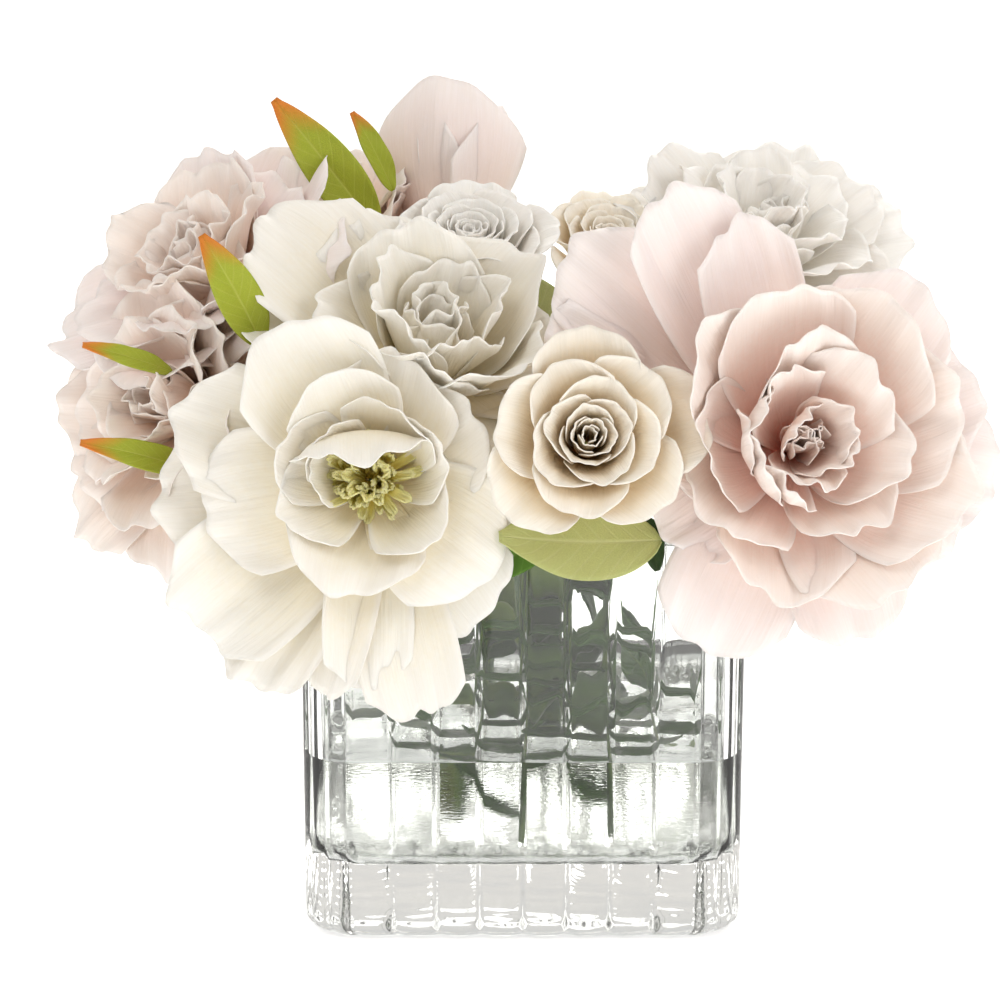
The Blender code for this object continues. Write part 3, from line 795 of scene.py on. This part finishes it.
LEAVES = (
    Leaf("orange_tipped_leaf", (-0.050, 0.010, 0.229), (-0.0850, 0.004, 0.2755), (0.10, -0.97, 0.20),
         0.0165, 0.35,
         0.10, "young_leaf", "young_leaf"),
    Leaf("small_orange_tipped_leaf", (-0.045, 0.014, 0.243), (-0.0590, 0.016, 0.2700), (0.5, -0.85, 0.10),
         0.0075,
         0.35, 0.05, "young_leaf", "young_leaf"),
    Leaf("left_orange_tipped_leaf", (-0.0850, -0.0640, 0.2030), (-0.1024, -0.0730, 0.2403),
         (0.30, -0.95, 0.10), 0.0135,
         0.30, 0.12, "young_leaf", "young_leaf"),
    Leaf("front_green_leaf", (0.012, -0.0800, 0.1500), (-0.0130, -0.0830, 0.1290), (0.0, -1.0, 0.25),
         0.0125, 0.20,
         0.06, "leaf", "leaf"),
    Leaf("front_dark_leaf", (0.040, -0.0830, 0.1500), (0.0430, -0.0850, 0.1330), (0.0, -1.0, 0.20), 0.0065,
         0.20,
         0.05, "dark_leaf", "leaf"),
    Leaf("upper_left_tip", (-0.1160, -0.0520, 0.1920), (-0.1410, -0.0760, 0.2055), (0.1, -0.9, 0.4),
         0.0055, 0.30, 0.05,
         "young_leaf", "young_leaf"),
    Leaf("lower_left_tip", (-0.1080, -0.0520, 0.1580), (-0.1430, -0.0760, 0.1735), (0.1, -0.9, 0.4),
         0.0085, 0.30, 0.08,
         "young_leaf", "young_leaf"),
    Leaf("olive_leaf", (0.0120, -0.0330, 0.1880), (-0.0030, -0.0350, 0.2225), (0.1, -0.8, 0.6), 0.0240,
         0.15, 0.05,
         "olive_leaf", "leaf"),
    Leaf("pale_sepal_leaf", (0.0440, -0.0880, 0.1440), (-0.0080, -0.0980, 0.1480), (0.0, -0.8, 0.6),
         0.0260, 0.05,
         -0.06, "pale_leaf", "pale_leaf"),
)


EXTRA_LEAVES = ("upper_left_tip", "lower_left_tip", "olive_leaf")


def add_leaf(sheets, leaf, tone):
    base = np.array(leaf.base)
    along = np.array(leaf.tip) - base
    length = np.linalg.norm(along)
    along /= length
    normal = np.array(leaf.faces)
    normal -= along * normal.dot(along)
    normal /= np.linalg.norm(normal)
    side = np.cross(along, normal)
    u, v = np.meshgrid(np.linspace(-1.0, 1.0, 17), np.linspace(0.0, 1.0, 31))
    half = 0.0006 + leaf.width / 2 * np.sin(math.pi * np.clip(v, 0.0, 0.985) ** 0.85) ** 0.75
    across = u * half
    height = leaf.fold * np.abs(across) + leaf.arch * length * np.sin(math.pi * v)
    height += 0.0004 * np.sin(14.0 * v + 4.0 * u) * np.abs(u)
    points = base + along * (v * length)[..., None] + side * across[..., None] + normal * height[..., None]
    edge = smooth_step(0.8, 1.0, np.abs(u))
    sheets.add_sheet(points, v, u, edge, tone)


def make_leaf(leaf, material):
    sheets = Sheets()
    add_leaf(sheets, leaf, 0.5)
    cad_nodes = [] if leaf.name in EXTRA_LEAVES else [leaf.name]
    return sheets.piece(leaf.name + "_looks", material, cad_nodes, leaf.slot, 0.0005)


# ---------------------------------------------------------------- stems and tie


def tie_centre():
    low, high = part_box("stem_tie")
    return (low + high) / 2


def stem_bezier(bloom):
    """The stem's foot, its place in the tie and its top, with their handles, set out as in CAD.

    The tops of the four blooms that look another way than in CAD bend with them.
    """
    centre = tie_centre()
    if bloom.slot < 9:
        angle = math.radians(20.0 + 40.0 * bloom.slot)
        ring = OUTER_RING
    else:
        angle = math.radians(90.0 + 120.0 * (bloom.slot - 9))
        ring = INNER_RING
    outward = Vector((math.cos(angle), math.sin(angle), 0.0))
    sideways = Vector((-outward.y, outward.x, 0.0))
    crossing = centre + outward * ring
    foot = crossing - sideways * bloom.foot
    foot.z = FOOT_HEIGHT
    lean = (crossing - foot).normalized()
    drop = centre.z - FOOT_HEIGHT
    low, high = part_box(bloom.name + "_calyx")
    facing = Vector(bloom.faces).normalized()
    top = (low + high) / 2 - facing * 0.003
    rise = (top - crossing).length
    return (
        (foot, foot - lean * drop / 3, foot + lean * drop / 3),
        (crossing, crossing - lean * drop / 3, crossing + lean * rise * 0.30),
        (top, top - facing * rise * 0.35, top + facing * rise * 0.35),
    )


def bezier_line(points, steps):
    """Points along a chain of Bezier curves."""
    line = []
    for (start, _, leave), (end, arrive, _) in zip(points, points[1:]):
        for step in range(steps):
            t = step / steps
            line.append(start * (1 - t) ** 3 + leave * 3 * t * (1 - t) ** 2 + arrive * 3 * t * t * (1 - t)
                        + end * t ** 3)
    line.append(points[-1][0])
    return line


def tube_mesh(name, line, radii, sides=16):
    """A closed tube with a radius at each point, its foot cut flat."""
    points = []
    faces = []
    tangent = (line[1] - line[0]).normalized()
    side = tangent.orthogonal().normalized()
    for index, place in enumerate(line):
        ahead = line[min(index + 1, len(line) - 1)] - line[max(index - 1, 0)]
        tangent = ahead.normalized()
        side = (side - tangent * side.dot(tangent)).normalized()
        other = tangent.cross(side)
        for step in range(sides):
            angle = 2 * math.pi * step / sides
            points.append(place + (side * math.cos(angle) + other * math.sin(angle)) * radii[index])
        if index:
            first = (index - 1) * sides
            for step in range(sides):
                after = (step + 1) % sides
                faces.append((first + step, first + after, first + sides + after, first + sides + step))
    faces.append(tuple(range(sides))[::-1])
    last = (len(line) - 1) * sides
    faces.append(tuple(range(last, last + sides)))
    mesh = bpy.data.meshes.new(name)
    mesh.from_pydata([tuple(p) for p in points], [], faces)
    mesh.update()
    return mesh


def make_stems(material):
    for index, bloom in enumerate(BLOOMS.values()):
        line = bezier_line(stem_bezier(bloom), 26)
        thickness = THICK_STEM_RADIUS if bloom.name == "small_cream_rose" else STEM_RADIUS
        draw = random.Random(index + 300)
        phase = draw.uniform(0.0, 6.0)
        radii = []
        for step in range(len(line)):
            share = step / (len(line) - 1)
            knot = max(0.0, math.cos(share * 14.0 + phase)) ** 24
            radii.append(thickness * (1.0 + 0.16 * knot + 0.03 * math.sin(share * 40.0 + phase)))
        radii[0] *= 0.93
        mesh = tube_mesh(bloom.name + "_stem_looks", line, radii)
        finish_piece(bloom.name + "_stem_looks", mesh, material, [bloom.name + "_stem"])


def make_stem_foliage(material):
    """Narrow leaves on the stems between the vase's floor and the tie, more of them at the front."""
    sheets = Sheets()
    limit = VASE_HIGH.x - WALL - 0.004
    for index, bloom in enumerate(BLOOMS.values()):
        line = bezier_line(stem_bezier(bloom), 26)
        in_front = line[0].y < -0.01
        places = (2, 4, 6, 9, 12, 15, 18, 21) if in_front else (4, 9, 14, 19)
        for count, place in enumerate(places):
            draw = random.Random(index * 11 + count)
            base = line[place]
            outward = Vector((base.x, base.y, 0.0)).normalized()
            turned = Matrix.Rotation(draw.uniform(-1.3, 1.3), 3, "Z") @ outward
            if in_front:
                turned = Vector((1.0 if count % 2 else -1.0, -0.25, 0.0)).normalized()
            rise = Vector((0.0, 0.0, draw.uniform(0.012, 0.034)))
            tip = base + turned * draw.uniform(0.016, 0.030) + rise
            tip.x = max(-limit, min(limit, tip.x))
            tip.y = max(-limit, min(limit, tip.y))
            tip.z = min(tip.z, 0.122)
            facing = (turned + Vector((0.0, 0.0, 0.7))).normalized()
            leaf = Leaf("foliage", tuple(base), tuple(tip), tuple(facing), draw.uniform(0.007, 0.011), 0.35,
                        draw.uniform(0.04, 0.14), "", "leaf")
            add_leaf(sheets, leaf, draw.random())
    sheets.piece("stem_foliage", material, [], "leaf", 0.0004)


def make_tie(material):
    """A flat band with rounded edges and fine ribs, wound once round the stems."""
    low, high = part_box("stem_tie")
    centre = (low + high) / 2
    middle = (high.x - low.x) / 2 - TIE_THICKNESS / 2
    half = (high.z - low.z) / 2
    squareness = 0.35
    profile = []
    for step in range(TIE_STEPS):
        angle = 2 * math.pi * step / TIE_STEPS
        wide = math.copysign(abs(math.cos(angle)) ** squareness, math.cos(angle))
        tall = math.copysign(abs(math.sin(angle)) ** squareness, math.sin(angle))
        profile.append((middle + wide * TIE_THICKNESS / 2, tall * half))
    points = []
    faces = []
    for turn in range(TIE_TURNS):
        angle = 2 * math.pi * turn / TIE_TURNS
        rib = 1.0 + 0.006 * math.sin(angle * 30)
        way = Vector((math.cos(angle), math.sin(angle), 0.0)) * rib
        points += [centre + way * radius + Vector((0.0, 0.0, height)) for radius, height in profile]
        first = turn * TIE_STEPS
        after = (turn + 1) % TIE_TURNS * TIE_STEPS
        for step in range(TIE_STEPS):
            other = (step + 1) % TIE_STEPS
            faces.append((first + step, after + step, after + other, first + other))
    mesh = bpy.data.meshes.new("stem_tie_looks")
    mesh.from_pydata(points, [], faces)
    mesh.update()
    finish_piece("stem_tie_looks", mesh, material, ["stem_tie"])


# ---------------------------------------------------------------- vase and water


def quarter_turns(points):
    turned = []
    for quarter in range(4):
        turn = Matrix.Rotation(quarter * math.pi / 2, 2)
        turned += [turn @ point for point in points]
    return turned


def fluted_outline():
    """The outer outline, flute by flute, and the matching points of a plain rounded square."""
    side = VASE_HIGH.x - FLUTE_BULGE
    straight = FLUTES_PER_SIDE * FLUTE_WIDTH / 2
    corner = side - straight
    edges = [Vector((side, -straight + i * FLUTE_WIDTH)) for i in range(FLUTES_PER_SIDE + 1)]
    for i in range(1, FLUTES_PER_CORNER + 1):
        angle = i * math.pi / 2 / FLUTES_PER_CORNER
        edges.append(Vector((straight + corner * math.cos(angle), straight + corner * math.sin(angle))))
    fluted = []
    plain = []
    for first, last in zip(edges, edges[1:]):
        along = last - first
        outward = Vector((along.y, -along.x)).normalized()
        for step in range(FLUTE_STEPS):
            share = step / FLUTE_STEPS
            flat = first + along * share
            plain.append(flat)
            fluted.append(flat + outward * FLUTE_BULGE * (4 * share * (1 - share)) ** 0.75)
    return quarter_turns(fluted), quarter_turns(plain)


def drawn_in(point, half, corner):
    """The point of a rounded square of that half width that lies the same way round as the point."""
    centre = half - corner
    straight = FLUTES_PER_SIDE * FLUTE_WIDTH / 2
    x, y = point.x, point.y
    if abs(x) > straight and abs(y) > straight:
        way = Vector((abs(x) - straight, abs(y) - straight)).normalized()
        return Vector((math.copysign(centre + corner * way.x, x),
                       math.copysign(centre + corner * way.y, y)))
    if abs(x) >= abs(y):
        return Vector((math.copysign(half, x), y * centre / straight))
    return Vector((x * centre / straight, math.copysign(half, y)))


def lofted(name, rings):
    """A closed mesh through rings of as many points each, with a cap on the first and the last."""
    count = len(rings[0])
    points = [tuple(p) for ring in rings for p in ring]
    faces = []
    for index in range(len(rings) - 1):
        first = index * count
        for step in range(count):
            after = (step + 1) % count
            faces.append((first + step, first + after, first + count + after, first + count + step))
    faces.append(tuple(range(count))[::-1])
    last = (len(rings) - 1) * count
    faces.append(tuple(range(last, last + count)))
    mesh = bpy.data.meshes.new(name)
    mesh.from_pydata(points, [], faces)
    mesh.update()
    return mesh


def rib_height(point):
    """Pressed ribs, one a flute, that run under the base and across the cavity's floor, with a slow
    wave.
    """
    across = abs(math.sin(math.pi * (point[0] / FLUTE_WIDTH)))
    along = 0.5 + 0.5 * math.sin(70.0 * point[1] + 55.0 * point[0])
    return RIB_DEPTH * (1.0 - 0.85 * across - 0.15 * along)


def ribbed_rings(outline, height, towards_middle):
    """Rings from the rim of a flat face to its middle, or back, with ribs that fade in."""
    rings = []
    for step in range(FACE_RINGS):
        scale = 1.0 - (step + 1) / (FACE_RINGS + 0.4)
        fade = min(1.0, 3.0 * (1.0 - scale))
        rings.append([(p[0] * scale, p[1] * scale, height + fade * rib_height((p[0] * scale, p[1] * scale)))
                      for p in outline])
    return rings if towards_middle else rings[::-1]


def rounded_rings(outline, half, rounding, height):
    """Rings round a rounded lower edge, from its flat face up to its wall."""
    rings = []
    for step in range(ROUNDING_STEPS + 1):
        turn = math.pi / 2 * step / ROUNDING_STEPS
        scale = (half - rounding * (1 - math.sin(turn))) / half
        z = height + rounding * (1 - math.cos(turn))
        rings.append([(p.x * scale, p.y * scale, z) for p in outline])
    return rings


def make_vase(material):
    """Fluted outside, a little fluted inside, with a rolled rim and a ribbed floor and underside."""
    fluted, plain = fluted_outline()
    half = VASE_HIGH.x
    height = VASE_HIGH.z
    foot_scale = (half - FOOT_ROUNDING) / half
    rings = ribbed_rings([(p.x * foot_scale, p.y * foot_scale) for p in fluted], 0.0, False)
    rings += rounded_rings(fluted, half, FOOT_ROUNDING, 0.0)
    for share in (0.2, 0.4, 0.6, 0.8, 1.0):
        z = FOOT_ROUNDING + (height - RIM_ROUNDING - FOOT_ROUNDING) * share
        rings.append([(p.x, p.y, z) for p in fluted])
    inner = half - WALL
    middle = [drawn_in(p, half - WALL / 2, 0.0145) for p in plain]
    smooth = [drawn_in(p, inner, CAVITY_CORNER) for p in plain]
    inside = [i + (f - p) * INNER_FLUTE_SHARE for i, f, p in zip(smooth, fluted, plain)]
    for angle in (30.0, 60.0, 90.0):
        turn = math.radians(angle)
        share = 1 - math.cos(turn)
        z = height - RIM_ROUNDING * (1 - math.sin(turn))
        rings.append([(p.x + (m.x - p.x) * share, p.y + (m.y - p.y) * share, z) for p,
                      m in zip(fluted, middle)])
    for angle in (60.0, 30.0, 0.0):
        turn = math.radians(angle)
        share = math.cos(turn)
        z = height - RIM_ROUNDING * (1 - math.sin(turn))
        rings.append([(m.x + (i.x - m.x) * share, m.y + (i.y - m.y) * share, z) for m,
                      i in zip(middle, inside)])
    floor = FLOOR_THICKNESS
    for share in (0.75, 0.5, 0.25):
        z = floor + CAVITY_FLOOR_ROUNDING + (height - RIM_ROUNDING - floor - CAVITY_FLOOR_ROUNDING) * share
        rings.append([(p.x, p.y, z) for p in inside])
    rings += rounded_rings(inside, inner, CAVITY_FLOOR_ROUNDING, floor)[::-1]
    floor_scale = (inner - CAVITY_FLOOR_ROUNDING) / inner
    rings += ribbed_rings([(p.x * floor_scale, p.y * floor_scale) for p in inside], floor, True)
    finish_piece("vase_looks", lofted("vase_looks", rings), material, ["vase"])


def make_water(material):
    """The water reaches a little into the glass, so that no air shows between them, and climbs at its
    edge.
    """
    _, plain = fluted_outline()
    _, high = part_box("water")
    half = VASE_HIGH.x - WALL + INTO_GLASS
    inside = [drawn_in(p, half, CAVITY_CORNER + INTO_GLASS) for p in plain]
    rings = rounded_rings(inside, half, CAVITY_FLOOR_ROUNDING, FLOOR_THICKNESS - INTO_GLASS)
    for inset, climb in MENISCUS:
        scale = (half - inset) / half
        rings.append([(p.x * scale, p.y * scale, high.z + climb) for p in inside])
    finish_piece("water_looks", lofted("water_looks", rings), material, ["water"])


# ---------------------------------------------------------------- studio


def make_camera():
    data = bpy.data.cameras.new("camera")
    data.sensor_width = SENSOR
    data.lens = CAMERA_LENS
    camera = bpy.data.objects.new("camera", data)
    camera.location = CAMERA_PLACE
    camera.rotation_euler = (math.pi / 2 - CAMERA_DOWN, 0.0, 0.0)
    bpy.context.scene.collection.objects.link(camera)
    bpy.context.scene.camera = camera


def area_light(name, place, target, size, power, colour=(1.0, 1.0, 1.0)):
    data = bpy.data.lights.new(name, "AREA")
    data.shape = "RECTANGLE"
    data.size = size[0]
    data.size_y = size[1]
    data.energy = power
    data.color = colour
    light = bpy.data.objects.new(name, data)
    light.location = place
    light.rotation_euler = (Vector(target) - Vector(place)).to_track_quat("-Z", "Y").to_euler()
    bpy.context.scene.collection.objects.link(light)
    return light


def make_world():
    """White behind and above, darker behind the camera, and darker low down at both sides.

    The dark sides give the glass its dark edges.
    """
    world = bpy.data.worlds.new("studio")
    world.use_nodes = True
    nodes = world.node_tree.nodes
    links = world.node_tree.links
    nodes.clear()
    place = nodes.new("ShaderNodeTexCoord")
    split = nodes.new("ShaderNodeSeparateXYZ")
    links.new(place.outputs["Generated"], split.inputs["Vector"])
    sideways = maths(nodes, links, "ABSOLUTE", split.outputs["X"])
    band = ramp(nodes, [(0.42, (0.95, 0.95, 0.95)), (0.52, (0.16, 0.16, 0.16)), (0.86, (0.20, 0.20, 0.20)),
                        (0.97, (0.75, 0.75, 0.75))])
    links.new(sideways, band.inputs["Fac"])
    lift = ramp(nodes, [(0.10, (0.0, 0.0, 0.0)), (0.45, (1.0, 1.0, 1.0))])
    links.new(maths(nodes, links, "ABSOLUTE", split.outputs["Z"]), lift.inputs["Fac"])
    colour = mixed(nodes, links, band.outputs["Color"], (1.22, 1.18, 1.12), lift.outputs["Color"])
    towards_camera = ramp(nodes, [(0.25, (0.0, 0.0, 0.0)), (0.60, (1.0, 1.0, 1.0))])
    links.new(maths(nodes, links, "MULTIPLY", split.outputs["Y"], -1.0), towards_camera.inputs["Fac"])
    colour = mixed(nodes, links, colour, (0.44, 0.41, 0.38), towards_camera.outputs["Color"])
    studio = nodes.new("ShaderNodeBackground")
    links.new(colour, studio.inputs["Color"])
    studio.inputs["Strength"].default_value = 0.66
    seen = nodes.new("ShaderNodeBackground")
    seen.inputs["Color"].default_value = (1.0, 1.0, 1.0, 1.0)
    path = nodes.new("ShaderNodeLightPath")
    mix = nodes.new("ShaderNodeMixShader")
    links.new(path.outputs["Is Camera Ray"], mix.inputs["Fac"])
    links.new(studio.outputs["Background"], mix.inputs[1])
    links.new(seen.outputs["Background"], mix.inputs[2])
    out = nodes.new("ShaderNodeOutputWorld")
    links.new(mix.outputs["Shader"], out.inputs["Surface"])
    bpy.context.scene.world = world


def make_stage():
    made, nodes, links, shader = new_material("pale_floor")
    soft = noise(nodes, links, 6.0, 2.0)
    tint = ramp(nodes, [(0.0, (0.90, 0.90, 0.90)), (1.0, (0.93, 0.93, 0.93))])
    links.new(soft.outputs["Fac"], tint.inputs["Fac"])
    links.new(tint.outputs["Color"], shader.inputs["Base Color"])
    shader.inputs["Roughness"].default_value = 0.7
    shader.inputs["Emission Color"].default_value = (1.0, 1.0, 1.0, 1.0)
    shader.inputs["Emission Strength"].default_value = 0.62
    mesh = bpy.data.meshes.new("floor")
    size = 7.0
    mesh.from_pydata([(-size, -size, 0), (size, -size, 0), (size, size, 0), (-size, size, 0)], [],
                     [(0, 1, 2, 3)])
    mesh.update()
    mesh.materials.append(made)
    floor = bpy.data.objects.new("floor", mesh)
    floor.location.z = -0.0002
    bpy.context.scene.collection.objects.link(floor)
    make_world()
    area_light("key", (-0.6, -1.15, 1.4), (0.0, 0.0, 0.18), (0.9, 0.9), 7.5, (1.0, 0.985, 0.96))
    area_light("fill", (1.1, -0.9, 0.8), (0.0, 0.0, 0.18), (0.9, 0.9), 6.5, (1.0, 0.98, 0.97))
    area_light("rear", (0.2, 1.2, 1.1), (0.0, 0.0, 0.18), (1.2, 0.8), 11.0, (1.0, 0.99, 0.96))
    scene = bpy.context.scene
    scene.view_settings.view_transform = "Standard"
    scene.cycles.max_bounces = 24
    scene.cycles.transmission_bounces = 20
    scene.cycles.diffuse_bounces = 6
    scene.cycles.transparent_max_bounces = 16
    scene.cycles.caustics_refractive = True


# ---------------------------------------------------------------- everything


def main():
    make_camera()
    make_stage()
    ivory = petal_material("ivory_petal", (0.82, 0.64, 0.26), (0.91, 0.82, 0.60), (0.93, 0.90, 0.82),
                           (0.95, 0.935, 0.89), 0.5)
    white = petal_material("white_petal", (0.86, 0.77, 0.48), (0.94, 0.90, 0.80), (0.95, 0.93, 0.89),
                           (0.955, 0.945, 0.92), 0.4)
    cream = petal_material("cream_petal", (0.88, 0.52, 0.20), (0.93, 0.76, 0.50), (0.94, 0.86, 0.73),
                           (0.95, 0.915, 0.84), 0.55)
    blush = petal_material("blush_petal", (0.90, 0.34, 0.25), (0.94, 0.65, 0.56), (0.945, 0.83, 0.77),
                           (0.95, 0.885, 0.85), 0.45)
    soft_blush = petal_material("soft_blush_petal", (0.90, 0.52, 0.30), (0.94, 0.73, 0.60),
                                (0.945, 0.83, 0.765),
                                (0.95, 0.89, 0.85), 0.5)
    lilac = petal_material("lilac_petal", (0.90, 0.58, 0.46), (0.935, 0.77, 0.71), (0.935, 0.835, 0.82),
                           (0.95, 0.895, 0.88), 0.5)
    stamen = stamen_material()
    make_ivory_peony(ivory, stamen)
    make_upper_ivory_peony(ivory)
    make_blush_peony({"lilac": lilac, "blush": blush})
    make_rose("cream_rose", 0.034, cream, "cream_petal", 41)
    make_rose("white_rose", 0.030, white, "white_petal", 44, 0.8)
    make_rose("small_cream_rose", 0.025, cream, "cream_petal", 47)
    make_plain_peony("upper_left_blush_peony", 0.046, lilac, soft_blush, "blush_petal", 51)
    make_plain_peony("lower_left_blush_peony", 0.046, soft_blush, soft_blush, "blush_petal", 55)
    make_plain_peony("rear_left_blush_peony", 0.050, soft_blush, soft_blush, "blush_petal", 63)
    make_plain_peony("upper_white_peony", 0.046, white, white, "white_petal", 67)
    make_plain_peony("rear_white_peony", 0.051, white, white, "white_petal", 71)
    make_bud(lilac)
    green = leaf_material("calyx", (0.20, 0.30, 0.08), (0.35, 0.42, 0.16))
    make_calyxes(green)
    leaves = {
        "young_leaf": leaf_material("young_leaf", (0.44, 0.50, 0.035), (0.58, 0.60, 0.12),
                                    (0.70, 0.22, 0.02)),
        "leaf": leaf_material("leaf", (0.13, 0.30, 0.025), (0.24, 0.40, 0.08)),
        "dark_leaf": leaf_material("dark_leaf", (0.030, 0.075, 0.012), (0.07, 0.12, 0.03)),
        "olive_leaf": leaf_material("olive_leaf", (0.42, 0.45, 0.16), (0.55, 0.56, 0.28)),
        "pale_leaf": leaf_material("pale_leaf", (0.62, 0.66, 0.25), (0.70, 0.72, 0.38)),
    }
    for leaf in LEAVES:
        make_leaf(leaf, leaves[leaf.kind])
    make_stems(stem_material())
    make_stem_foliage(leaf_material("stem_foliage", (0.055, 0.155, 0.008), (0.18, 0.30, 0.03)))
    make_tie(tie_material())
    make_vase(glass_material())
    make_water(water_material())


main()
